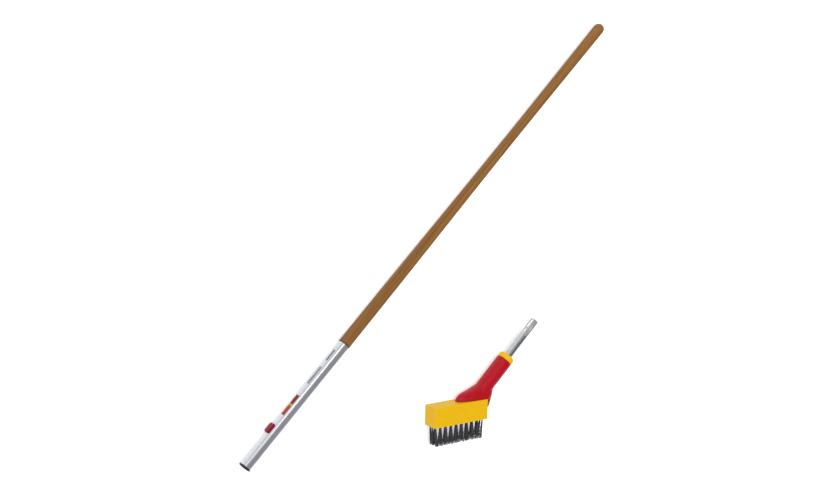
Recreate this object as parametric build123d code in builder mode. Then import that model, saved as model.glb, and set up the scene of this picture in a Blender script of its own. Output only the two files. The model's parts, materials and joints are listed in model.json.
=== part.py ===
"""Stand up weeder: a click-in brush head and its long handle, laid side by side on the ground.

Frame: the origin is the centre of the handle's mouth and +X runs up the handle. +Z is up and
the release button faces +Y. All sizes are in millimetres.
"""
import os
from math import cos, radians, sin

from build123d import *

os.makedirs("parts", exist_ok=True)

# ---- driving dimensions: handle ----
HANDLE_LENGTH = 1440.0
TUBE_R = 14.5
TUBE_WALL = 1.5
TUBE_END = 370.0          # where the bare wood starts
SPIGOT_START = 322.0      # the wood's turned-down end inside the tube
WOOD_R = 15.2             # at the shoulder; the wood rests on the ground here
WOOD_WAIST_R = 12.3
WOOD_KNOB_R = 13.8
WAIST_X = 1130.0
KNOB_X = 1425.0
RIVET_X = 345.0
RIVET_R = 2.0
RIVET_HEAD_R = 3.6
RIVET_HEAD_HEIGHT = 0.6
RIVET_ROOT = 6.0          # the rivet reaches in to this distance from the axis
BORE_R = 11.6             # hole that the head's shank slides into
LIP_LENGTH = 3.5
LIP_R = 15.0
LIP_FILLET = 0.6
LINER_END = 76.0
LINER_PLAY = 0.05
HOUSING_BORE_R = 12.0
HOUSING_END = 123.0
WINDOW_LENGTH = 50.0
STOP_START = 124.0
STOP_LENGTH = 14.0
STOP_FLOOR = 4.0
STOP_RIM = 3.0
LABEL_START = 149.0
LABEL_LENGTH = 58.0
LABEL_WIDTH = 9.5
LABEL_TURN = 18.0         # turned from the button towards the top

# ---- driving dimensions: latch ----
BUTTON_X = 107.0
BUTTON_LENGTH = 26.0
BUTTON_WIDTH = 17.0
BUTTON_TOP = 18.4
BUTTON_BOTTOM = 11.6
BUTTON_CORNER_R = 4.2
BUTTON_CHAMFER = 1.6
GROOVE_DEPTH = 2.2
BUTTON_GAP = 0.4
PIVOT_X = 91.5
PIVOT_Y = 9.9
PIVOT_R = 0.8
LEVER_TOP = 10.4
LEVER_BOTTOM = 8.8
LEVER_END = 111.0
LEVER_HALF_WIDTH = 2.5
SPRING_START = 58.0
SPRING_BEND = 72.0        # flat up to here, then sloping down to the lever
SPRING_TIP = 83.0
SPRING_SHEET = 0.4
SPRING_LOW = 10.45
SPRING_HIGH = 12.25
SLOT_LENGTH = 20.0
SLOT_WIDTH = 6.0
HOOK_X = 82.0
HOOK_LENGTH = 4.0
HOOK_TIP_Y = 7.2

# ---- driving dimensions: shank and neck ----
COLLAR_X = 660.0          # top of the collar, where the mouth comes to rest
SHANK_Y = -408.0
SHANK_OUT = 120.0         # shank standing out of the collar
SHANK_IN = 60.0           # tang inside the neck
SHANK_HEIGHT = 17.0       # across the latch direction
SHANK_WIDTH = 15.0
SHEET = 2.0
SHANK_CORNER_R = 2.5
SHANK_TIP_CHAMFER = 0.8
OVAL_A = 95.0             # the see-through window, from the collar
OVAL_LENGTH = 19.0
OVAL_WIDTH = 10.5
EYE_A = 75.0              # the small round hole below it
EYE_R = 2.8
GROOVE_A = (2.0, 70.0)    # both rolled grooves, from the collar towards the tip
GROOVES = ((-1.4, 4.2, 1.2), (3.4, 1.3, 0.8))      # each one's place across, width and depth
RELIEF_A = (92.5, 115.5)  # slot that the lever's far arm dips into
HOOK_WINDOW = 8.0
PIN_A = -35.0
PIN_R = 2.5
NECK_R = 21.0
CORE_R = 14.0
COLLAR_LENGTH = 15.0
NECK_LENGTH = 100.0
CORE_END = -95.0
COLLAR_FILLET = 5.0

# ---- driving dimensions: brush block ----
HEAD_ANGLE = 44.0         # between the shank and the block's long side
BLOCK_LENGTH = 165.0
BLOCK_WIDTH = 45.0
BLOCK_HEIGHT = 52.0
BLOCK_WALL = 3.0
BLOCK_TOP_WALL = 5.0
COLLAR_U = 240.4          # collar top from the block's toe-end top corner, along the block
COLLAR_V = 97.3           # and above it
TUFT_COUNT = 10
TUFT_START = 9.0
TUFT_R = 2.2
TUFT_TIP_R = 5.6
TUFT_END = -104.0
END_TUFT_U = 6.5          # tufts at the block's two ends
END_TUFT_LEAN = 7.0
ROW_SPACING = 12.0
PLATE_TOP = -40.0
PLATE_BOTTOM = -50.0
SCREW_U = (104.0, 130.0)  # foot screws, along the block
FOOT_SCREW_R = 2.4
FOOT_SCREW_HEAD_R = 4.5
FOOT_SCREW_TOP = 12.0
PLATE_SCREW_R = 1.6
PLATE_SCREW_LENGTH = 13.0
BOSS_R = 4.5

# ---- derived places ----
TUBE_BORE_R = TUBE_R - TUBE_WALL
GROUND_Z = -WOOD_R
MID_Z = GROUND_Z + BLOCK_WIDTH / 2
ALONG = Vector(cos(radians(HEAD_ANGLE)), -sin(radians(HEAD_ANGLE)), 0)
ABOVE = Vector(sin(radians(HEAD_ANGLE)), cos(radians(HEAD_ANGLE)), 0)
COLLAR = Vector(COLLAR_X, SHANK_Y, MID_Z)
CORNER = COLLAR - ALONG * COLLAR_U - ABOVE * COLLAR_V
SHANK_PLANE = Plane(origin=COLLAR, x_dir=(1, 0, 0), z_dir=(0, 0, 1))
BLOCK_SIDE = Plane(origin=CORNER, x_dir=ALONG, z_dir=(0, 0, 1))
BLOCK_MIDDLE = BLOCK_LENGTH / 2
TUFT_PITCH = (BLOCK_LENGTH - 2 * TUFT_START) / (TUFT_COUNT - 1)


def along_x(x, y=0.0, z=0.0):
    """Plane at x whose normal is +X, with local x along +Y and local y along +Z."""
    return Plane(origin=(x, y, z), x_dir=(0, 1, 0), z_dir=(1, 0, 0))


def shank_section(a):
    """Section plane across the shank, a from the collar's top."""
    return along_x(COLLAR_X + a, SHANK_Y, MID_Z)


def block_level(v):
    """Plane parallel to the block's top, v above it: local x along the block, local y across."""
    return Plane(origin=CORNER + ABOVE * v, x_dir=ALONG, z_dir=-ABOVE)


def save(builder, name):
    """Label a finished piece and write its STEP file."""
    builder.part.label = name
    export_step(builder.part, f"parts/{name}.step")


# ======================= handle =======================

with BuildPart() as wood_shaft:
    with BuildSketch(Plane.XY):
        with BuildLine():
            spigot_r = TUBE_BORE_R - 0.05
            Polyline((SPIGOT_START, 0), (SPIGOT_START, spigot_r), (TUBE_END, spigot_r),
                     (TUBE_END, WOOD_R))
            Spline((TUBE_END, WOOD_R), (WAIST_X, WOOD_WAIST_R), (KNOB_X, WOOD_KNOB_R),
                   tangents=((1, 0), (1, 0)), tangent_scalars=(1.2, 0.6))
            EllipticalCenterArc((KNOB_X, 0), HANDLE_LENGTH - KNOB_X, WOOD_KNOB_R, 0, arc_size=90)
            Polyline((HANDLE_LENGTH, 0), (SPIGOT_START, 0))
        make_face()
    revolve(axis=Axis.X)
    with BuildSketch(Plane.XZ.offset(RIVET_ROOT)):
        with Locations((RIVET_X, 0)):
            Circle(RIVET_R)
    extrude(amount=TUBE_R, mode=Mode.SUBTRACT)
save(wood_shaft, "wood_shaft")

with BuildPart() as socket_tube:
    with BuildSketch(along_x(LIP_LENGTH)):
        Circle(TUBE_R)
        Circle(TUBE_BORE_R, mode=Mode.SUBTRACT)
    extrude(amount=TUBE_END - LIP_LENGTH)
    with BuildSketch(Plane.XZ):
        with Locations((BUTTON_X, 0)):
            RectangleRounded(BUTTON_LENGTH + 2 * BUTTON_GAP, BUTTON_WIDTH + 2 * BUTTON_GAP,
                             BUTTON_CORNER_R + BUTTON_GAP)
    extrude(amount=-2 * TUBE_R, mode=Mode.SUBTRACT)
    with BuildSketch(Plane.XY):
        with Locations((PIVOT_X, PIVOT_Y)):
            Circle(PIVOT_R)
    extrude(amount=TUBE_R, both=True, mode=Mode.SUBTRACT)
    with BuildSketch(Plane.XZ.offset(RIVET_ROOT)):
        with Locations((RIVET_X, 0)):
            Circle(RIVET_R)
    extrude(amount=TUBE_R, mode=Mode.SUBTRACT)
save(socket_tube, "socket_tube")

with BuildPart() as mouth_liner:
    with BuildSketch(along_x(0)):
        Circle(LIP_R)
    extrude(amount=LIP_LENGTH)
    with BuildSketch(along_x(LIP_LENGTH)):
        Circle(TUBE_BORE_R - LINER_PLAY)
    extrude(amount=LINER_END - LIP_LENGTH)
    with BuildSketch(along_x(0)):
        Circle(BORE_R)
    extrude(amount=LINER_END, mode=Mode.SUBTRACT)
    mouth_rims = mouth_liner.edges().filter_by(GeomType.CIRCLE).group_by(Axis.X)[0]
    fillet(mouth_rims.sort_by(SortBy.RADIUS)[-1], LIP_FILLET)
    # slot for the leaf spring
    with BuildSketch(Plane.XZ):
        with Locations((SPRING_START - 1.0 + SLOT_LENGTH / 2, 0)):
            Rectangle(SLOT_LENGTH, SLOT_WIDTH)
    extrude(amount=-TUBE_R, mode=Mode.SUBTRACT)
save(mouth_liner, "mouth_liner")

with BuildPart() as latch_housing:
    with BuildSketch(along_x(LINER_END + LINER_PLAY)):
        Circle(TUBE_BORE_R - LINER_PLAY)
        Circle(HOUSING_BORE_R, mode=Mode.SUBTRACT)
    extrude(amount=HOUSING_END - LINER_END - LINER_PLAY)
    with BuildSketch(Plane.XZ):
        with Locations((HOUSING_END - 2.0 - WINDOW_LENGTH / 2, 0)):
            Rectangle(WINDOW_LENGTH, BUTTON_WIDTH + 2.0)
    extrude(amount=-TUBE_R, mode=Mode.SUBTRACT)
save(latch_housing, "latch_housing")

with BuildPart() as socket_stop:
    with BuildSketch(along_x(STOP_START)):
        Circle(TUBE_BORE_R - 0.1)
    extrude(amount=STOP_LENGTH)
    with BuildSketch(along_x(STOP_START + STOP_FLOOR)):
        Circle(TUBE_BORE_R - STOP_RIM)
    extrude(amount=STOP_LENGTH - STOP_FLOOR, mode=Mode.SUBTRACT)
save(socket_stop, "socket_stop")

with BuildPart() as latch_pin:
    with BuildSketch(Plane.XY):
        with Locations((PIVOT_X, PIVOT_Y)):
            Circle(PIVOT_R)
    extrude(amount=10.3, both=True)
save(latch_pin, "latch_pin")

with BuildPart() as latch_lever:
    with BuildSketch(Plane.XY):
        with BuildLine():
            Polyline((HOOK_X - HOOK_LENGTH / 2, LEVER_TOP), (LEVER_END, LEVER_TOP),
                     (LEVER_END, LEVER_BOTTOM), (HOOK_X + HOOK_LENGTH / 2, LEVER_BOTTOM),
                     (HOOK_X + HOOK_LENGTH / 2, HOOK_TIP_Y), (HOOK_X + 0.6, HOOK_TIP_Y),
                     (HOOK_X - HOOK_LENGTH / 2, LEVER_BOTTOM), close=True)
        make_face()
        with Locations((PIVOT_X, PIVOT_Y)):
            Circle(PIVOT_R + 0.55)
            Circle(PIVOT_R + 0.05, mode=Mode.SUBTRACT)
    extrude(amount=LEVER_HALF_WIDTH, both=True)
save(latch_lever, "latch_lever")

with BuildPart() as latch_spring:
    with BuildSketch(Plane.XY):
        with BuildLine():
            tip_flat = SPRING_TIP - 2.0
            Polyline((SPRING_START, SPRING_HIGH + SPRING_SHEET), (SPRING_BEND, SPRING_HIGH + SPRING_SHEET),
                     (tip_flat, SPRING_LOW + SPRING_SHEET), (SPRING_TIP, SPRING_LOW + SPRING_SHEET),
                     (SPRING_TIP, SPRING_LOW), (tip_flat, SPRING_LOW),
                     (SPRING_BEND, SPRING_HIGH), (SPRING_START, SPRING_HIGH), close=True)
        make_face()
    extrude(amount=LEVER_HALF_WIDTH, both=True)
save(latch_spring, "latch_spring")

with BuildPart() as release_button:
    with BuildSketch(Plane.XZ.offset(-BUTTON_BOTTOM)):
        with Locations((BUTTON_X, 0)):
            RectangleRounded(BUTTON_LENGTH, BUTTON_WIDTH, BUTTON_CORNER_R)
    extrude(amount=-(BUTTON_TOP - BUTTON_BOTTOM))
    chamfer(release_button.faces().sort_by(Axis.Y)[-1].edges(), BUTTON_CHAMFER)
    # groove under the cap that the lever lies in, and the nub that presses the lever
    with BuildSketch(Plane.XZ.offset(-BUTTON_BOTTOM)):
        with Locations((BUTTON_X, 0)):
            Rectangle(BUTTON_LENGTH + 2.0, SLOT_WIDTH)
    extrude(amount=-GROOVE_DEPTH, mode=Mode.SUBTRACT)
    with BuildSketch(Plane.XZ.offset(-(LEVER_TOP + 0.2))):
        with Locations((BUTTON_X, 0)):
            Rectangle(2.0, 2 * LEVER_HALF_WIDTH)
    extrude(amount=-4.0)
save(release_button, "release_button")

with BuildPart() as label_strip:
    with BuildSketch(along_x(LABEL_START)):
        Circle(TUBE_R + 0.15)
        Circle(TUBE_R, mode=Mode.SUBTRACT)
        with Locations((TUBE_R, TUBE_R / 3)):
            Rectangle(2 * TUBE_R, LABEL_WIDTH, rotation=LABEL_TURN, mode=Mode.INTERSECT)
    extrude(amount=LABEL_LENGTH)
save(label_strip, "label_strip")

with BuildPart() as shaft_rivet:
    with BuildSketch(Plane.XZ.offset(RIVET_ROOT)):
        with Locations((RIVET_X, 0)):
            Circle(RIVET_R)
    extrude(amount=TUBE_R + RIVET_HEAD_HEIGHT - RIVET_ROOT)
    with BuildSketch(Plane.XZ.offset(TUBE_R)):
        with Locations((RIVET_X, 0)):
            Circle(RIVET_HEAD_R)
    extrude(amount=RIVET_HEAD_HEIGHT)
save(shaft_rivet, "shaft_rivet")

# ======================= shank and neck =======================

with BuildPart() as shank:
    with BuildSketch(shank_section(-SHANK_IN)):
        RectangleRounded(SHANK_HEIGHT, SHANK_WIDTH, SHANK_CORNER_R)
        with Locations((0, -SHEET)):
            Rectangle(SHANK_HEIGHT - 2 * SHEET, SHANK_WIDTH, mode=Mode.SUBTRACT)
    extrude(amount=SHANK_IN + SHANK_OUT)
    # openings in the upper face: the long oval window and the small round hole below it
    with BuildSketch(SHANK_PLANE.offset(SHANK_WIDTH / 2 - SHEET)):
        with Locations((OVAL_A, 0)):
            SlotOverall(OVAL_LENGTH, OVAL_WIDTH)
        with Locations((EYE_A, 0)):
            Circle(EYE_R)
    extrude(amount=SHEET, mode=Mode.SUBTRACT)
    # rolled grooves from the collar to the small hole
    for groove_place, groove_width, groove_depth in GROOVES:
        with BuildSketch(SHANK_PLANE.offset(SHANK_WIDTH / 2 - groove_depth)):
            with Locations((sum(GROOVE_A) / 2, groove_place)):
                SlotOverall(GROOVE_A[1] - GROOVE_A[0], groove_width)
        extrude(amount=groove_depth, mode=Mode.SUBTRACT)
    # window for the latch's hook, and one that its other arm dips into
    with BuildSketch(Plane.XZ.offset(-SHANK_Y)):
        with Locations((COLLAR_X + HOOK_X, MID_Z)):
            Rectangle(HOOK_LENGTH + 3.0, HOOK_WINDOW)
        with Locations((COLLAR_X + sum(RELIEF_A) / 2, MID_Z)):
            Rectangle(RELIEF_A[1] - RELIEF_A[0], HOOK_WINDOW)
    extrude(amount=-SHANK_HEIGHT, mode=Mode.SUBTRACT)
    with BuildSketch(Plane.XZ.offset(-SHANK_Y)):
        with Locations((COLLAR_X + PIN_A, MID_Z)):
            Circle(PIN_R)
    extrude(amount=SHANK_HEIGHT, both=True, mode=Mode.SUBTRACT)
    tip_corners = shank.edges().filter_by(Axis.Z).group_by(Axis.X)[-1]
    chamfer(tip_corners.group_by(Axis.Y)[-1] + tip_corners.group_by(Axis.Y)[0], SHANK_TIP_CHAMFER)
save(shank, "shank")

with BuildPart() as neck_core:
    with BuildSketch(shank_section(CORE_END)):
        Circle(CORE_R)
    extrude(amount=-COLLAR_LENGTH - CORE_END)
    with BuildSketch(shank_section(-COLLAR_LENGTH)):
        Circle(NECK_R - 0.3)
    extrude(amount=COLLAR_LENGTH)
    fillet(neck_core.edges().group_by(Axis.X)[-1], COLLAR_FILLET)
    with BuildSketch(shank_section(-SHANK_IN)):
        RectangleRounded(SHANK_HEIGHT, SHANK_WIDTH, SHANK_CORNER_R)
    extrude(amount=SHANK_IN, mode=Mode.SUBTRACT)
    with BuildSketch(Plane.XZ.offset(-SHANK_Y)):
        with Locations((COLLAR_X + PIN_A, MID_Z)):
            Circle(PIN_R)
    extrude(amount=NECK_R, both=True, mode=Mode.SUBTRACT)
save(neck_core, "neck_core")

with BuildPart() as shank_pin:
    with BuildSketch(Plane.XZ.offset(-SHANK_Y)):
        with Locations((COLLAR_X + PIN_A, MID_Z)):
            Circle(PIN_R)
    extrude(amount=CORE_R - 0.8, both=True)
save(shank_pin, "shank_pin")

NECK_END_U = COLLAR_U - NECK_LENGTH * cos(radians(HEAD_ANGLE))
NECK_END_V = COLLAR_V - NECK_LENGTH * sin(radians(HEAD_ANGLE))
EDGE_U = (NECK_R - 1.5) * sin(radians(HEAD_ANGLE))
EDGE_V = (NECK_R - 1.5) * cos(radians(HEAD_ANGLE))
TAIL_DEPTH = 27.0

with BuildPart() as foot:
    # side view: the toe on the block's top, the instep, and the tail over its heel end
    with BuildSketch(BLOCK_SIDE):
        with BuildLine():
            toe = Spline((82, 0), (87, 12), (104, 19), (134, 27), (NECK_END_U, NECK_END_V))
            Line(toe @ 1, (NECK_END_U + EDGE_U, NECK_END_V - EDGE_V))
            heel = Spline((NECK_END_U + EDGE_U, NECK_END_V - EDGE_V), (187, 2), (177, -TAIL_DEPTH + 2))
            Polyline(heel @ 1, (BLOCK_LENGTH, -TAIL_DEPTH), (BLOCK_LENGTH, 0), toe @ 0)
        make_face()
    extrude(amount=BLOCK_WIDTH / 2 - 0.3, both=True)
    # top view: narrow toe, full width at the heel, narrower tail
    with BuildSketch(block_level(60.0)):
        with BuildLine():
            side = Spline((90, 9), (125, 15), (162, 21.8), (190, 15))
            mirror(about=Plane.XZ)
            ThreePointArc((90, 9), (78, 0), (90, -9))
            Line((190, 15), (190, -15))
        make_face()
    extrude(amount=60.0 + TAIL_DEPTH + 1, mode=Mode.INTERSECT)

with BuildPart() as neck_cover:
    with BuildSketch(shank_section(-COLLAR_LENGTH)):
        Circle(NECK_R)
    extrude(amount=-2 * NECK_LENGTH)
    split(bisect_by=block_level(0), keep=Keep.BOTTOM)
    add(foot.part)
    with BuildSketch(shank_section(CORE_END)):
        Circle(CORE_R)
    extrude(amount=-CORE_END, mode=Mode.SUBTRACT)
    with BuildSketch(block_level(0)):
        with Locations(*[(u, 0) for u in SCREW_U]):
            Circle(FOOT_SCREW_R)
    extrude(amount=-FOOT_SCREW_TOP, mode=Mode.SUBTRACT)
save(neck_cover, "neck_cover")

# ======================= brush =======================

PLATE_SCREWS = tuple(TUFT_START + TUFT_PITCH * (i + 0.5) for i in (0, TUFT_COUNT - 2))

with BuildPart() as brush_block:
    with BuildSketch(block_level(0)):
        with Locations((BLOCK_MIDDLE, 0)):
            RectangleRounded(BLOCK_LENGTH, BLOCK_WIDTH, 2.0)
    extrude(amount=BLOCK_HEIGHT)
    with BuildSketch(block_level(-BLOCK_TOP_WALL)):
        with Locations((BLOCK_MIDDLE, 0)):
            RectangleRounded(BLOCK_LENGTH - 2 * BLOCK_WALL, BLOCK_WIDTH - 2 * BLOCK_WALL, 1.0)
    extrude(amount=BLOCK_HEIGHT, mode=Mode.SUBTRACT)
    with BuildSketch(block_level(-BLOCK_TOP_WALL)):
        with Locations(*[(u, 0) for u in PLATE_SCREWS]):
            Circle(BOSS_R)
    extrude(amount=-PLATE_TOP - BLOCK_TOP_WALL)
    with BuildSketch(block_level(PLATE_TOP + PLATE_SCREW_LENGTH + 1.0)):
        with Locations(*[(u, 0) for u in PLATE_SCREWS]):
            Circle(PLATE_SCREW_R)
    extrude(amount=PLATE_SCREW_LENGTH + 1.0, mode=Mode.SUBTRACT)
    with BuildSketch(block_level(0)):
        with Locations(*[(u, 0) for u in SCREW_U]):
            Circle(FOOT_SCREW_R)
    extrude(amount=BLOCK_TOP_WALL, mode=Mode.SUBTRACT)
save(brush_block, "brush_block")

with BuildPart() as foot_screws:
    with BuildSketch(block_level(FOOT_SCREW_TOP)):
        with Locations(*[(u, 0) for u in SCREW_U]):
            Circle(FOOT_SCREW_R)
    extrude(amount=FOOT_SCREW_TOP + BLOCK_TOP_WALL)
    with BuildSketch(block_level(-BLOCK_TOP_WALL)):
        with Locations(*[(u, 0) for u in SCREW_U]):
            Circle(FOOT_SCREW_HEAD_R)
    extrude(amount=3.0)
save(foot_screws, "foot_screws")


def middle_places():
    """Places of the middle row's tufts: between the outer rows' tufts, past the plate screws."""
    places = [TUFT_START + TUFT_PITCH * (i + 0.5) for i in range(TUFT_COUNT - 1)]
    return [(u, 0.0) for u in places if u not in PLATE_SCREWS]


def outer_places(w):
    """Places of an outer row's tufts, w across the block."""
    return [(TUFT_START + TUFT_PITCH * i, w) for i in range(TUFT_COUNT)]


END_PLACES = [(END_TUFT_U, 0.0), (BLOCK_LENGTH - END_TUFT_U, 0.0)]
ROWS = {
    "tufts_front": outer_places(ROW_SPACING),
    "tufts_middle": middle_places(),
    "tufts_back": outer_places(-ROW_SPACING),
    "tufts_end": END_PLACES,
}
ALL_TUFTS = [place for places in ROWS.values() for place in places]
ANCHOR_TOP = PLATE_TOP - 1.5
ANCHOR_HEIGHT = 1.2

with BuildPart() as tuft_plate:
    with BuildSketch(block_level(PLATE_TOP)):
        with Locations((BLOCK_MIDDLE, 0)):
            RectangleRounded(BLOCK_LENGTH - 2 * BLOCK_WALL - 0.1, BLOCK_WIDTH - 2 * BLOCK_WALL - 0.1, 1.0)
        with Locations(*[(u, 0) for u in PLATE_SCREWS]):
            Circle(PLATE_SCREW_R, mode=Mode.SUBTRACT)
    extrude(amount=PLATE_TOP - PLATE_BOTTOM)
    with BuildSketch(block_level(ANCHOR_TOP)):
        with Locations(*ALL_TUFTS):
            Circle(TUFT_R)
    extrude(amount=ANCHOR_TOP - PLATE_BOTTOM, mode=Mode.SUBTRACT)
save(tuft_plate, "tuft_plate")

with BuildPart() as plate_screws:
    with BuildSketch(block_level(PLATE_TOP + PLATE_SCREW_LENGTH)):
        with Locations(*[(u, 0) for u in PLATE_SCREWS]):
            Circle(PLATE_SCREW_R)
    extrude(amount=PLATE_SCREW_LENGTH + PLATE_TOP - PLATE_BOTTOM)
    with BuildSketch(block_level(PLATE_BOTTOM)):
        with Locations(*[(u, 0) for u in PLATE_SCREWS]):
            Circle(2 * PLATE_SCREW_R)
    extrude(amount=1.6)
save(plate_screws, "plate_screws")

with BuildPart() as tuft_anchors:
    with BuildSketch(block_level(ANCHOR_TOP)):
        with Locations(*ALL_TUFTS):
            Rectangle(3.6, 1.8)
    extrude(amount=ANCHOR_HEIGHT)
save(tuft_anchors, "tuft_anchors")

for row_name, row_places in ROWS.items():
    with BuildPart() as tufts:
        with BuildSketch(block_level(ANCHOR_TOP - ANCHOR_HEIGHT)):
            with Locations(*row_places):
                Circle(TUFT_R)
        extrude(amount=ANCHOR_TOP - ANCHOR_HEIGHT - PLATE_BOTTOM)
        for place in row_places:
            with BuildSketch(block_level(PLATE_BOTTOM)):
                with Locations(place):
                    Circle(TUFT_R)
            lean = 0.0
            if row_name == "tufts_end":
                lean = END_TUFT_LEAN if place[0] < BLOCK_MIDDLE else -END_TUFT_LEAN
            with BuildSketch(block_level(TUFT_END)):
                with Locations((place[0] + lean, place[1])):
                    Circle(TUFT_TIP_R)
            loft()
    save(tufts, row_name)
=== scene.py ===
import json
import math
import random

import bmesh
import bpy
from mathutils import Matrix, Vector


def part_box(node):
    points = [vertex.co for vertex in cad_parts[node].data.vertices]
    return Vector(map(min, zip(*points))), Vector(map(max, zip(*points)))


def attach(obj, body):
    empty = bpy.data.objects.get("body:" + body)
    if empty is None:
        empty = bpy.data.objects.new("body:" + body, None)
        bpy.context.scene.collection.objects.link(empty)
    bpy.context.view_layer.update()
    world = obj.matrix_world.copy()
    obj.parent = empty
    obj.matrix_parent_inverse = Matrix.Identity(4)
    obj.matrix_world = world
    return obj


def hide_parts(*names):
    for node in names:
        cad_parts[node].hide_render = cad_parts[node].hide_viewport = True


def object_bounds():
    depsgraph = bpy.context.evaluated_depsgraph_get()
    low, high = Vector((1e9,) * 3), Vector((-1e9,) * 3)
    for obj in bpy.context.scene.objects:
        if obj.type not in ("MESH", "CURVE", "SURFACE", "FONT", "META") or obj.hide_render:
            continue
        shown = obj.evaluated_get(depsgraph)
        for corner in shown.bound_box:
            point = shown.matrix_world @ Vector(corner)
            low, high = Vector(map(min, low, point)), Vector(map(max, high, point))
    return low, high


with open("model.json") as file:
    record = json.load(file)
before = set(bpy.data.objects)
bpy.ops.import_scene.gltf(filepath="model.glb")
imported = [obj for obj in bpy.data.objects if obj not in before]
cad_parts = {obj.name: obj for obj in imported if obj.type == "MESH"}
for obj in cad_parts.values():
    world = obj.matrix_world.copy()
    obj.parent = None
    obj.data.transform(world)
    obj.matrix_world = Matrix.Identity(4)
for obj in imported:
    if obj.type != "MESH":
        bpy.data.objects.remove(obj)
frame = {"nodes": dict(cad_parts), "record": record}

CAD_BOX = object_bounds()
NODES = frame["nodes"]
SCENE = bpy.context.scene
MM = 0.001
random.seed(7)

# ---------------------------------------------------------------- places and sizes shared with the CAD

GROUND = CAD_BOX[0][2]
HEAD_ANGLE = math.radians(44.0)
ALONG = Vector((math.cos(HEAD_ANGLE), -math.sin(HEAD_ANGLE), 0))     # along the block, toe to heel
ABOVE = Vector((math.sin(HEAD_ANGLE), math.cos(HEAD_ANGLE), 0))      # away from the bristles
ACROSS = Vector((0, 0, 1))                                           # across the block, up
CORE_LOW, CORE_HIGH = (Vector(c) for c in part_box("neck_core"))
COLLAR = Vector((CORE_HIGH.x, (CORE_LOW.y + CORE_HIGH.y) / 2, (CORE_LOW.z + CORE_HIGH.z) / 2))
COLLAR_U, COLLAR_V = 240.4, 97.3          # the collar, from the block's top corner at its toe end
CORNER = COLLAR - (ALONG * COLLAR_U + ABOVE * COLLAR_V) * MM
BLOCK_LENGTH, BLOCK_WIDTH, BLOCK_HEIGHT = 165.0, 45.0, 52.0
WOOD_START = 0.370                        # where the wood comes out of the tube, from its mouth
HEAD_MIDDLE = CORNER + ALONG * 0.12
TUBE_R = 14.5
LABEL_MIDDLE = sum(corner[0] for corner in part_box("label_strip")) / 2
SHANK_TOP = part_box("shank")[1][2]


def head_point(u, v, w=0.0):
    """A point of the head: u along the block, v above its top, w across it, in millimetres."""
    return CORNER + (ALONG * u + ABOVE * v + ACROSS * w) * MM


def shank_point(a, b, w=0.0):
    """A point by the shank: a from the collar's top, b across it in the button's direction."""
    return COLLAR + Vector((a, b, w)) * MM


# ---------------------------------------------------------------- camera, floor and light

SENSOR = 36.0
FOCAL_SHARE = 1500 / 825   # focal length over the width of the frame


def make_camera():
    place = Vector((-0.340, 1.928, 2.904))
    looks_at = Vector((0.660, 0.0072, GROUND))
    up_in_view = Vector((0.747, 0.643, -0.167))
    data = bpy.data.cameras.new("camera")
    data.sensor_width = SENSOR
    data.lens = SENSOR * FOCAL_SHARE
    data.clip_end = 50.0
    camera = bpy.data.objects.new("camera", data)
    backward = (place - looks_at).normalized()
    right = up_in_view.cross(backward).normalized()
    up = backward.cross(right)
    turned = Matrix((right, up, backward)).transposed().to_4x4()
    camera.matrix_world = Matrix.Translation(place) @ turned
    SCENE.collection.objects.link(camera)
    SCENE.camera = camera


def aim(light, place, looks_at):
    light.location = place
    light.rotation_euler = (Vector(looks_at) - Vector(place)).to_track_quat("-Z", "Y").to_euler()
    SCENE.collection.objects.link(light)


def make_lights():
    """A broad soft light from above, kept out of reflections, and a small one for the highlights."""
    above = bpy.data.lights.new("overhead", "SUN")
    above.energy = 2.1
    above.angle = math.radians(40)
    above.specular_factor = 0.0
    overhead = bpy.data.objects.new("overhead", above)
    overhead.visible_glossy = False
    aim(overhead, (0.4, 0.35, 3.0), (0.5, 0.0, 0.0))
    spot = bpy.data.lights.new("highlight", "AREA")
    spot.shape = "DISK"
    spot.size = 0.22
    spot.energy = 6
    aim(bpy.data.objects.new("highlight", spot), (0.9, 1.6, 2.6), HEAD_MIDDLE)


def make_world():
    """A white studio whose wall behind the camera is bright and whose ceiling and far wall are grey."""
    SCENE.view_settings.view_transform = "Standard"
    world = bpy.data.worlds.new("studio")
    SCENE.world = world
    world.use_nodes = True
    tree = world.node_tree
    direction = tree.nodes.new("ShaderNodeTexCoord").outputs["Generated"]
    parts = tree.nodes.new("ShaderNodeSeparateXYZ")
    wall = tree.nodes.new("ShaderNodeMapRange")
    wall.interpolation_type = "SMOOTHSTEP"
    wall.inputs["From Min"].default_value = 0.20
    wall.inputs["From Max"].default_value = 0.62
    link(tree, direction, parts.inputs["Vector"])
    link(tree, parts.outputs["Y"], wall.inputs["Value"])
    shade = mix(tree, wall.outputs["Result"], (0.42, 0.425, 0.44), (1.0, 1.0, 1.01))
    link(tree, shade, tree.nodes["Background"].inputs["Color"])
    tree.nodes["Background"].inputs["Strength"].default_value = 1.0


def make_floor():
    """A pale floor that gives off some light of its own, so the shadows on it stay faint."""
    mesh = bpy.data.meshes.new("floor")
    size = 12.0
    corners = ((-size, -size), (size, -size), (size, size), (-size, size))
    mesh.from_pydata([(x, y, GROUND) for x, y in corners], [], [(0, 1, 2, 3)])
    floor = bpy.data.objects.new("floor", mesh)
    SCENE.collection.objects.link(floor)
    white, tree, shader = new_material("floor_white")
    shader.inputs["Base Color"].default_value = (0.62, 0.62, 0.62, 1)
    shader.inputs["Roughness"].default_value = 1.0
    shader.inputs["Specular IOR Level"].default_value = 0.0
    shader.inputs["Emission Color"].default_value = (1, 1, 1, 1)
    shader.inputs["Emission Strength"].default_value = 0.55
    mesh.materials.append(white)


# ---------------------------------------------------------------- material helpers

def srgb(r, g, b):
    """Linear colour of an 8-bit display colour."""
    shares = [c / 255 for c in (r, g, b)]
    return tuple(c / 12.92 if c < 0.0404 else ((c + 0.055) / 1.055) ** 2.4 for c in shares)


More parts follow.
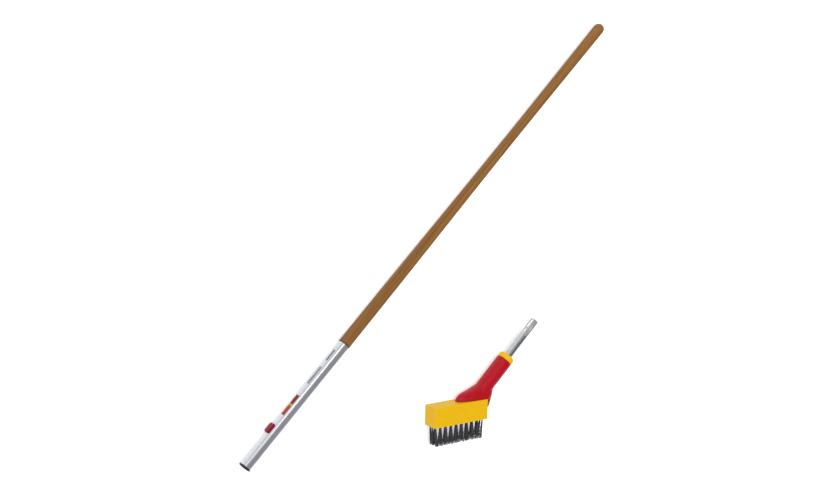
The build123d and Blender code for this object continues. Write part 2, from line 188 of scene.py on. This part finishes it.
def new_material(name):
    material = bpy.data.materials.new(name)
    material.use_nodes = True
    return material, material.node_tree, material.node_tree.nodes["Principled BSDF"]


def link(tree, source, target):
    tree.links.new(source, target)


def mapped_noise(tree, scale, detail, roughness=0.55, distortion=0.0):
    """Noise over object coordinates, stretched by a scale along each axis."""
    coordinates = tree.nodes.new("ShaderNodeTexCoord")
    mapping = tree.nodes.new("ShaderNodeMapping")
    mapping.inputs["Scale"].default_value = scale
    texture = tree.nodes.new("ShaderNodeTexNoise")
    texture.inputs["Scale"].default_value = 1.0
    texture.inputs["Detail"].default_value = detail
    texture.inputs["Roughness"].default_value = roughness
    texture.inputs["Distortion"].default_value = distortion
    link(tree, coordinates.outputs["Object"], mapping.inputs["Vector"])
    link(tree, mapping.outputs["Vector"], texture.inputs["Vector"])
    return texture.outputs["Fac"]


def ramp(tree, value, stops):
    """A colour for each value, through stops of a value and its colour."""
    node = tree.nodes.new("ShaderNodeValToRGB")
    elements = node.color_ramp.elements
    while len(elements) < len(stops):
        elements.new(0.5)
    for element, (place, color) in zip(elements, stops):
        element.position = place
        element.color = (*color, 1)
    link(tree, value, node.inputs["Fac"])
    return node.outputs["Color"]


def color_sockets(node):
    """The factor, the two colours and the result of a colour Mix node, whose names repeat."""
    named = {socket.identifier: socket for socket in (*node.inputs, *node.outputs)}
    return [named[key] for key in ("Factor_Float", "A_Color", "B_Color", "Result_Color")]


def mix(tree, factor, a, b, blend="MIX"):
    node = tree.nodes.new("ShaderNodeMix")
    node.data_type = "RGBA"
    node.blend_type = blend
    *inputs, result = color_sockets(node)
    for socket, value in zip(inputs, (factor, a, b)):
        if hasattr(value, "is_output"):
            link(tree, value, socket)
        elif isinstance(value, (int, float)):
            socket.default_value = value
        else:
            socket.default_value = (*value, 1)
    return result


def bump(tree, shader, height, strength, distance):
    node = tree.nodes.new("ShaderNodeBump")
    node.inputs["Strength"].default_value = strength
    node.inputs["Distance"].default_value = distance
    link(tree, height, node.inputs["Height"])
    link(tree, node.outputs["Normal"], shader.inputs["Normal"])


def remap(tree, value, low, high):
    """A value from 0 to 1 stretched from low to high."""
    node = tree.nodes.new("ShaderNodeMapRange")
    node.inputs["To Min"].default_value = low
    node.inputs["To Max"].default_value = high
    link(tree, value, node.inputs["Value"])
    return node.outputs["Result"]


def object_place(tree, axis):
    """The object's own coordinate along X, Y or Z."""
    parts = tree.nodes.new("ShaderNodeSeparateXYZ")
    link(tree, tree.nodes.new("ShaderNodeTexCoord").outputs["Object"], parts.inputs["Vector"])
    return parts.outputs[axis]


def fade(tree, value, start, end):
    """1 below start, falling to 0 at end."""
    node = tree.nodes.new("ShaderNodeMapRange")
    node.interpolation_type = "SMOOTHSTEP"
    node.inputs["From Min"].default_value = start
    node.inputs["From Max"].default_value = end
    node.inputs["To Min"].default_value = 1.0
    node.inputs["To Max"].default_value = 0.0
    link(tree, value, node.inputs["Value"])
    return node.outputs["Result"]


def calculate(tree, operation, a, b=0.0):
    node = tree.nodes.new("ShaderNodeMath")
    node.operation = operation
    for socket, value in zip(node.inputs, (a, b)):
        if hasattr(value, "is_output"):
            link(tree, value, socket)
        else:
            socket.default_value = value
    return node.outputs["Value"]


# ---------------------------------------------------------------- materials

def ash_wood():
    """Brown stained wood with long grain and dark pores, with a dark ring of painted shade where it goes
    into the tube.
    """
    material, tree, shader = new_material("ash_wood")
    grain = mapped_noise(tree, (2.2, 190, 190), detail=6, roughness=0.62, distortion=0.25)
    broad = mapped_noise(tree, (1.3, 22, 22), detail=3)
    pores = mapped_noise(tree, (14, 900, 900), detail=2, roughness=0.4)
    color = ramp(tree, grain, [(0.30, srgb(74, 44, 14)), (0.46, srgb(116, 76, 30)),
                               (0.60, srgb(138, 94, 42)), (0.80, srgb(98, 62, 24))])
    warm = ramp(tree, broad, [(0.35, srgb(116, 76, 30)), (0.65, srgb(142, 98, 46))])
    color = mix(tree, 0.40, color, warm)
    dark_pores = ramp(tree, pores, [(0.30, (0.45, 0.40, 0.34)), (0.42, (1, 1, 1))])
    color = mix(tree, 0.55, color, dark_pores, "MULTIPLY")
    # painted shade: a dark ring on the wood just outside the tube's mouth, where the join falls into
    # shade
    painted_join_shade = ramp(tree, object_place(tree, "X"), [(WOOD_START + 0.0006, (0.16, 0.13, 0.11)),
                                                    (WOOD_START + 0.0030, (1, 1, 1))])
    color = mix(tree, 1.0, color, painted_join_shade, "MULTIPLY")
    link(tree, color, shader.inputs["Base Color"])
    link(tree, remap(tree, grain, 0.45, 0.62), shader.inputs["Roughness"])
    shader.inputs["Specular IOR Level"].default_value = 0.28
    bump(tree, shader, grain, 0.25, 0.0006)
    return material


def drawn_aluminium():
    """Bare aluminium with fine drawing lines along the tube."""
    material, tree, shader = new_material("drawn_aluminium")
    streaks = mapped_noise(tree, (3, 700, 700), detail=3)
    color = ramp(tree, streaks, [(0.35, (0.50, 0.51, 0.54)), (0.65, (0.63, 0.64, 0.67))])
    link(tree, color, shader.inputs["Base Color"])
    link(tree, remap(tree, streaks, 0.24, 0.36), shader.inputs["Roughness"])
    shader.inputs["Metallic"].default_value = 1.0
    bump(tree, shader, streaks, 0.12, 0.0001)
    return material


def zinc_steel():
    """Pale zinc plate, with painted shade darkening the inside of the folded channel below its top."""
    material, tree, shader = new_material("zinc_steel")
    spangle = mapped_noise(tree, (90, 90, 90), detail=2)
    color = ramp(tree, spangle, [(0.35, (0.40, 0.41, 0.42)), (0.65, (0.50, 0.51, 0.52))])
    # painted shade: the inside of the folded channel, below its top face, is painted dark
    across = calculate(tree, "ABSOLUTE", calculate(tree, "SUBTRACT", object_place(tree, "Y"), COLLAR.y))
    inside = fade(tree, across, 0.0056, 0.0064)
    deep = fade(tree, object_place(tree, "Z"), SHANK_TOP - 0.0007, SHANK_TOP - 0.0002)
    painted_channel_shade = calculate(tree, "MULTIPLY", inside, deep)
    color = mix(tree, painted_channel_shade, color, (0.09, 0.09, 0.095))
    link(tree, color, shader.inputs["Base Color"])
    link(tree, remap(tree, spangle, 0.30, 0.40), shader.inputs["Roughness"])
    shader.inputs["Metallic"].default_value = 0.6
    return material


SPECKLE = 0.02             # how far the plastic's colour drifts


def moulded(name, color, roughness, coat=0.0):
    """Moulded plastic: faint colour drift, a fine moulded texture and a soft sheen."""
    material, tree, shader = new_material(name)
    drift = mapped_noise(tree, (38, 38, 38), detail=3)
    fine = mapped_noise(tree, (900, 900, 900), detail=2)
    dark = tuple(c * (1 - 2 * SPECKLE) for c in color)
    light = tuple(c * (1 + SPECKLE) for c in color)
    link(tree, ramp(tree, drift, [(0.3, dark), (0.7, light)]), shader.inputs["Base Color"])
    link(tree, remap(tree, fine, roughness - 0.05, roughness + 0.07), shader.inputs["Roughness"])
    shader.inputs["Specular IOR Level"].default_value = 0.18
    shader.inputs["Coat Weight"].default_value = coat
    shader.inputs["Coat Roughness"].default_value = 0.15
    bump(tree, shader, fine, 0.25, 0.00008)
    return material


def bright_steel():
    material, tree, shader = new_material("bright_steel")
    streaks = mapped_noise(tree, (500, 60, 500), detail=2)
    color = ramp(tree, streaks, [(0.3, (0.50, 0.50, 0.50)), (0.7, (0.68, 0.68, 0.69))])
    link(tree, color, shader.inputs["Base Color"])
    link(tree, remap(tree, streaks, 0.22, 0.40), shader.inputs["Roughness"])
    shader.inputs["Metallic"].default_value = 1.0
    return material


def black_wire():
    material, tree, shader = new_material("black_wire")
    scale = mapped_noise(tree, (900, 900, 900), detail=2)
    color = ramp(tree, scale, [(0.3, srgb(30, 30, 32)), (0.7, srgb(112, 112, 116))])
    link(tree, color, shader.inputs["Base Color"])
    link(tree, remap(tree, scale, 0.32, 0.5), shader.inputs["Roughness"])
    shader.inputs["Metallic"].default_value = 0.5
    return material


def printed_film():
    """Two plain patches of colour with a paler join, without lettering."""
    material, tree, shader = new_material("printed_film")
    patchy = mapped_noise(tree, (420, 60, 60), detail=2)
    shade = ramp(tree, patchy, [(0.35, (0.72, 0.72, 0.72)), (0.65, (1.0, 1.0, 1.0))])
    halves = ramp(tree, object_place(tree, "X"), [
        (LABEL_MIDDLE - 0.003, srgb(158, 52, 36)), (LABEL_MIDDLE - 0.002, srgb(186, 108, 52)),
        (LABEL_MIDDLE + 0.002, srgb(206, 140, 60)), (LABEL_MIDDLE + 0.003, srgb(122, 34, 26))])
    link(tree, mix(tree, 1.0, halves, shade, "MULTIPLY"), shader.inputs["Base Color"])
    shader.inputs["Roughness"].default_value = 0.45
    shader.inputs["Specular IOR Level"].default_value = 0.3
    return material


def grey_ink():
    material, tree, shader = new_material("grey_ink")
    patchy = mapped_noise(tree, (300, 300, 300), detail=2)
    color = ramp(tree, patchy, [(0.35, srgb(62, 64, 68)), (0.65, srgb(88, 90, 94))])
    link(tree, color, shader.inputs["Base Color"])
    shader.inputs["Roughness"].default_value = 0.55
    return material


MATERIALS = {
    "wood": ash_wood(),
    "tube": drawn_aluminium(),
    "zinc": zinc_steel(),
    "yellow": moulded("yellow_plastic", srgb(214, 168, 6), 0.45),
    "red": moulded("red_plastic", srgb(160, 0, 20), 0.38, coat=0.12),
    "button": moulded("button_plastic", srgb(122, 2, 28), 0.36, coat=0.1),
    "liner": moulded("black_liner", (0.012, 0.012, 0.014), 0.4),
    "black_plate": moulded("black_plate", (0.02, 0.02, 0.021), 0.5),
    "latch_steel": bright_steel(),
    "screws": bright_steel(),
    "wire": black_wire(),
    "label": printed_film(),
}


# ---------------------------------------------------------------- mesh helpers

def add_piece(name, points, faces, body, slot, replaces=(), smooth=True):
    """A closed mesh that rides on a body, wears a slot's material and may stand for CAD nodes."""
    mesh = bpy.data.meshes.new(name)
    mesh.from_pydata(points, [], faces)
    shape = bmesh.new()
    shape.from_mesh(mesh)
    bmesh.ops.recalc_face_normals(shape, faces=shape.faces)
    shape.to_mesh(mesh)
    shape.free()
    for face in mesh.polygons:
        face.use_smooth = smooth
    piece = bpy.data.objects.new(name, mesh)
    SCENE.collection.objects.link(piece)
    mesh.materials.append(MATERIALS[slot])
    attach(piece, body)
    if replaces:
        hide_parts(*replaces)
    return piece


def lofted(rings):
    """Points and faces of a closed shape through rings with the same number of points."""
    count = len(rings[0])
    points = [point for ring in rings for point in ring]
    faces = [tuple(reversed(range(count))), tuple(range(len(points) - count, len(points)))]
    for start in range(0, len(points) - count, count):
        for i in range(count):
            after = (i + 1) % count
            faces.append((start + i, start + after, start + count + after, start + count + i))
    return points, faces


def joined(shapes):
    """One list of points and one of faces from several shapes."""
    points, faces = [], []
    for shape_points, shape_faces in shapes:
        start = len(points)
        points += shape_points
        faces += [tuple(start + i for i in face) for face in shape_faces]
    return points, faces


def between(p, q, r, s, t):
    """The value at a share t of the way from q to r, on a smooth curve that p and s steer."""
    square = (2 * p - 5 * q + 4 * r - s) * t ** 2
    cube = (3 * q - p - 3 * r + s) * t ** 3
    return 0.5 * (2 * q + (r - p) * t + square + cube)


def through(stations, steps):
    """Rows interpolated smoothly through rows of numbers, with steps between each two."""
    rows = []
    last = len(stations) - 1
    for i in range(last):
        before, a, b, after = (stations[max(0, min(last, k))] for k in (i - 1, i, i + 1, i + 2))
        for step in range(steps):
            rows.append(tuple(between(*numbers, step / steps) for numbers in zip(before, a, b, after)))
    rows.append(tuple(stations[-1]))
    return rows


def signed_power(value, power):
    return math.copysign(abs(value) ** power, value)


def turns(count):
    """Angles evenly spaced around a full turn."""
    return [math.tau * i / count for i in range(count)]


def apply_modifiers(piece):
    evaluated = piece.evaluated_get(bpy.context.evaluated_depsgraph_get())
    mesh = bpy.data.meshes.new_from_object(evaluated)
    piece.modifiers.clear()
    piece.data = mesh


# ---------------------------------------------------------------- the red neck and foot

NECK_R = 21.0
NECK_TOP = -15.2           # below the collar's top
NECK_STEPS = 24
SOLE = -1.2                # the foot reaches this far into the block's top
AROUND = 48                # points in each ring

# along the block, height and half width of the foot, from its toe to the block's heel end
FOOT = ((80, 1, 3), (82, 8, 7.5), (88, 14.5, 11), (99, 20, 14.5), (114, 24, 18), (130, 29.5, 20.5),
        (146, 36, 21.5), (160, 42, 21.5), (171, 28, 21))
# height, reach along the block and half width of the tail that wraps over the heel end
TAIL = ((-27, 175, 9), (-25, 178.5, 13), (-14, 182.5, 15.5), (0, 185.5, 18), (12, 188, 20), (24, 190, 19),
        (34, 192, 15))
TAIL_START = 163.8         # the tail reaches this far into the block's heel end
FLUTES, FLUTE_DEPTH = 9, 0.8
FLUTE_TOP, FLUTE_TOP_FADE = -20.0, 6.0         # they fade out at the collar
FLUTE_END, FLUTE_END_FADE = -92.0, 25.0        # and over the foot


def neck_shape():
    """The round neck, cut off at its lower end by the foot's sole."""
    rings = []
    for step in range(NECK_STEPS + 1):
        ring = []
        for t in turns(AROUND):
            b, w = NECK_R * math.cos(t), NECK_R * math.sin(t)
            end = (SOLE - COLLAR_V - b * ABOVE.y) / ABOVE.x
            ring.append(shank_point(NECK_TOP + (end - NECK_TOP) * step / NECK_STEPS, b, w))
        rings.append(ring)
    return lofted(rings)


def foot_shape():
    """The foot on the block's top, its rings standing across the block."""
    rings = []
    for u, height, half in through(FOOT, 5):
        ring = []
        for t in turns(AROUND):
            lift = abs(math.sin(t)) ** 0.85 * (height - SOLE) if math.sin(t) > 0 else 0.0
            ring.append(head_point(u, SOLE + lift, half * signed_power(math.cos(t), 0.8)))
        rings.append(ring)
    return lofted(rings)


def tail_shape():
    """The tail over the block's heel end, its rings lying level."""
    rings = []
    for v, reach, half in through(TAIL, 4):
        ring = []
        for t in turns(AROUND):
            out = abs(math.sin(t)) ** 0.75 * (reach - TAIL_START) if math.sin(t) > 0 else 0.0
            ring.append(head_point(TAIL_START + out, v, half * signed_power(math.cos(t), 0.8)))
        rings.append(ring)
    return lofted(rings)


def flute(point):
    """How deep the neck's soft lengthwise flutes are at a point, in millimetres."""
    away = (point - COLLAR) / MM
    from_top = min(1.0, max(0.0, (FLUTE_TOP - away.x) / FLUTE_TOP_FADE))
    from_end = min(1.0, max(0.0, (away.x - FLUTE_END) / FLUTE_END_FADE))
    strength = from_top * from_end
    turn = math.atan2(away.z, away.y)
    return FLUTE_DEPTH * strength * max(0.0, math.cos(FLUTES * turn)) ** 3


def make_neck():
    """Neck, foot and tail blended into one skin, with the flutes pressed in."""
    points, faces = joined([neck_shape(), foot_shape(), tail_shape()])
    piece = add_piece("neck_skin", points, faces, "head", "red", replaces=("neck_cover",))
    remesh = piece.modifiers.new("blend_shapes", "REMESH")
    remesh.mode = "VOXEL"
    remesh.voxel_size = 1.1 * MM
    remesh.use_smooth_shade = True
    smooth = piece.modifiers.new("soften", "SMOOTH")
    smooth.factor = 0.5
    smooth.iterations = 14
    apply_modifiers(piece)
    for vertex in piece.data.vertices:
        axis = Vector((vertex.co.x, COLLAR.y, COLLAR.z))
        inward = (axis - vertex.co).normalized()
        vertex.co += inward * flute(vertex.co) * MM


# ---------------------------------------------------------------- the yellow block

CORNER_R = 3.0             # upright corners, seen from above
LEAST_CORNER_R = 0.6       # the same corners inside the shell
EDGE_R = 2.6               # around the top
LIP_R = 0.7                # around the open bottom
WALL = 3.0
WALL_BEVEL = 0.4
TOP_WALL = 5.0
EDGE_STEPS, LIP_STEPS = 8, 4


def rounded_rectangle(half_length, half_width, radius, steps=8):
    """Points around a rectangle with round corners, about its middle."""
    points = []
    for quarter in range(4):
        side_u = 1 if quarter in (0, 3) else -1
        side_w = 1 if quarter in (0, 1) else -1
        for step in range(steps + 1):
            t = (quarter + step / steps) * math.pi / 2
            points.append((side_u * (half_length - radius) + radius * math.cos(t),
                           side_w * (half_width - radius) + radius * math.sin(t)))
    return points


def make_block():
    """The block as a shell open at the bottom: its profile of (inset, height) goes around the outline."""
    profile = []
    for step in range(EDGE_STEPS + 1):
        t = step / EDGE_STEPS * math.pi / 2
        profile.append((EDGE_R * (1 - math.sin(t)), -EDGE_R * (1 - math.cos(t))))
    for step in range(LIP_STEPS + 1):
        t = step / LIP_STEPS * math.pi / 2
        profile.append((LIP_R * (1 - math.cos(t)), -BLOCK_HEIGHT + LIP_R * (1 - math.sin(t))))
    profile += [(WALL - WALL_BEVEL, -BLOCK_HEIGHT), (WALL, -BLOCK_HEIGHT + WALL_BEVEL), (WALL, -TOP_WALL)]
    rings = []
    for inset, v in profile:
        radius = max(LEAST_CORNER_R, CORNER_R - inset)
        outline = rounded_rectangle(BLOCK_LENGTH / 2 - inset, BLOCK_WIDTH / 2 - inset, radius)
        rings.append([head_point(BLOCK_LENGTH / 2 + u, v, w) for u, w in outline])
    points, faces = lofted(rings)
    piece = add_piece("block_shell", points, faces, "head", "yellow", replaces=("brush_block",))
    keep_flat_faces(piece)


def keep_flat_faces(piece, degrees=30):
    """Shade smoothly over the rounded edges and sharply where the surface turns more than this."""
    mesh = piece.data
    shape = bmesh.new()
    shape.from_mesh(mesh)
    for edge in shape.edges:
        if len(edge.link_faces) == 2:
            edge.smooth = edge.calc_face_angle(0) < math.radians(degrees)
    shape.to_mesh(mesh)
    shape.free()
    weighted = piece.modifiers.new("even_shading", "WEIGHTED_NORMAL")
    weighted.keep_sharp = True


# ---------------------------------------------------------------- bristles

TUFT_COUNT, TUFT_START = 10, 9.0
TUFT_PITCH = (BLOCK_LENGTH - 2 * TUFT_START) / (TUFT_COUNT - 1)
ROW_SPACING = 12.0
END_TUFT_U, END_TUFT_LEAN = 6.5, 7.0
WIRE_TOP, WIRE_END = -45.0, -103.6
WIRES_IN_TUFT = 38
WIRE_R = 0.42
WIRE_STEPS = 12
UNEVEN = 3.2               # how much shorter a wire may be than the longest
ROOT_R = 1.3
TIP_R = (8.8, 5.4)         # along and across the block
CORNER_LEAN = 5.5          # the tufts at the four corners lean inwards
LEANING_SPREAD = 0.55      # and a leaning tuft fans out less
FAN_START = 0.08           # the wires stand straight in the plate up to this share of their length
CRIMP, CRIMP_LENGTH = 0.45, 9.0


def wire_shape(root, tip):
    """One crimped wire from root to tip, both (u, w) places at its two levels."""
    phase = random.uniform(0, math.tau)
    turn = random.uniform(0, math.tau)
    end = WIRE_END + random.uniform(0, UNEVEN)
    rings = []
    for step in range(WIRE_STEPS + 1):
        t = step / WIRE_STEPS
        v = WIRE_TOP + (end - WIRE_TOP) * t
        spread = max(0.0, t - FAN_START) / (1 - FAN_START)
        wave = CRIMP * min(1.0, 3 * t) * math.sin(math.tau * (v / CRIMP_LENGTH) + phase)
        u = root[0] + (tip[0] - root[0]) * spread + wave * math.cos(turn)
        w = root[1] + (tip[1] - root[1]) * spread + wave * math.sin(turn)
        ring = [(u + WIRE_R * math.cos(a), w + WIRE_R * math.sin(a)) for a in turns(4)]
        rings.append([head_point(ring_u, v, ring_w) for ring_u, ring_w in ring])
    return lofted(rings)


def tuft_shapes(u, w, lean):
    """The wires of one tuft, whose tips stand lean further along the block than its roots."""
    shapes = []
    for _ in range(WIRES_IN_TUFT):
        reach = math.sqrt(random.random())
        turn = random.uniform(0, math.tau)
        side_u, side_w = reach * math.cos(turn), reach * math.sin(turn)
        narrow = LEANING_SPREAD if lean else 1.0
        root = (u + side_u * ROOT_R, w + side_w * ROOT_R)
        tip = (u + lean + side_u * TIP_R[0] * narrow, w + side_w * TIP_R[1] * narrow)
        shapes.append(wire_shape(root, tip))
    return shapes


def make_bristles():
    """Two outer rows, a middle row half a step along, and one more tuft at each end."""
    starts = [TUFT_START + TUFT_PITCH * i for i in range(TUFT_COUNT)]
    leans = [CORNER_LEAN] + [0.0] * (TUFT_COUNT - 2) + [-CORNER_LEAN]
    halfway = [TUFT_START + TUFT_PITCH * (i + 0.5) for i in range(1, TUFT_COUNT - 2)]
    rows = {
        "front": [(u, ROW_SPACING, lean) for u, lean in zip(starts, leans)],
        "middle": [(u, 0.0, 0.0) for u in halfway],
        "back": [(u, -ROW_SPACING, lean) for u, lean in zip(starts, leans)],
        "end": [(END_TUFT_U, 0.0, END_TUFT_LEAN),
                (BLOCK_LENGTH - END_TUFT_U, 0.0, -END_TUFT_LEAN)],
    }
    for row, tufts in rows.items():
        shapes = [shape for tuft in tufts for shape in tuft_shapes(*tuft)]
        add_piece("wires_" + row, *joined(shapes), "head", "wire", replaces=("tufts_" + row,))


# ---------------------------------------------------------------- plain print on the tube

PRINT_TURN = math.radians(18)         # from the button's side towards the top
PRINT_HEIGHTS = (0.02, 0.10)          # its underside and its face, above the tube
# start and end up the handle, width and place across
PRINT_BARS = ((242, 293, 2.2, -1.9), (242, 293, 2.2, 1.6), (312, 345, 1.4, -2.2), (312, 345, 2.6, 1.0))


def bar_shape(start, end, width, offset):
    """A thin bar with round ends, wrapped on the tube, from and to these places up the handle."""
    radius = width / 2
    outline = []
    for t in turns(32):
        x = (end - radius if math.cos(t) >= 0 else start + radius) + radius * math.cos(t)
        outline.append((x, offset + radius * math.sin(t)))
    rings = []
    for height in PRINT_HEIGHTS:
        radius = TUBE_R + height
        ring = []
        for x, arc in outline:
            turn = PRINT_TURN + arc / TUBE_R
            ring.append(Vector((x, radius * math.cos(turn), radius * math.sin(turn))) * MM)
        rings.append(ring)
    return lofted(rings)


def make_print():
    shapes = [bar_shape(*bar) for bar in PRINT_BARS]
    piece = add_piece("grey_print", *joined(shapes), "handle", "label", smooth=False)
    piece.data.materials.clear()
    piece.data.materials.append(grey_ink())


# ---------------------------------------------------------------- the scene

for entry in frame["record"]["subparts"]:
    node = NODES[entry["node"]]
    for slot in node.material_slots:
        slot.material = MATERIALS[entry["material_slot"]]
    if not node.material_slots:
        node.data.materials.append(MATERIALS[entry["material_slot"]])

make_camera()
make_world()
make_lights()
make_floor()
make_neck()
make_block()
make_bristles()
make_print()
